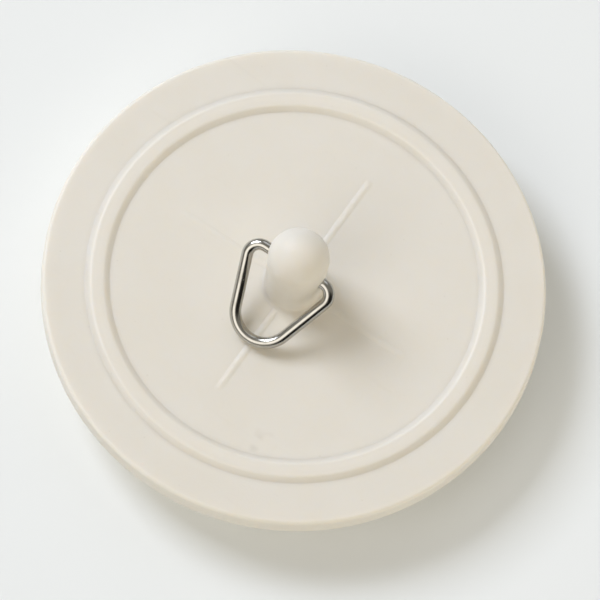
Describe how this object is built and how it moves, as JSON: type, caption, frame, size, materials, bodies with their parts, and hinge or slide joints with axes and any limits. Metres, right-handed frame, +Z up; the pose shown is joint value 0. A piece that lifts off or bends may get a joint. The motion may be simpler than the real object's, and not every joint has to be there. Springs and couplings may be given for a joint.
{
  "type": "drain stopper",
  "caption": "Round rubber drain stopper: hollow plug under a flange with a raised bead, and a domed knob that carries a hinged triangular wire pull ring.",
  "frame": {"origin": "centre of the plug's foot, on the surface that the stopper stands on", "axes": "+Z up through the knob, +X along the ring's hinge axis, ring leaning towards -Y at rest"},
  "size_m": [0.09, 0.09, 0.032],
  "materials": {
    "cream_rubber": "satin moulded rubber",
    "bright_wire": "bright nickel plate"
  },
  "bodies": {
    "stopper": {"stopper_body": "cream_rubber"},
    "ring": {"pull_ring": "bright_wire"}
  },
  "joints": [
    {"name": "ring_swing", "type": "hinge", "parent": "stopper", "child": "ring", "pos_m": [0, 0, 0.0222], "axis": [-1, 0, 0], "range_deg": [0, 239.9]}
  ]
}
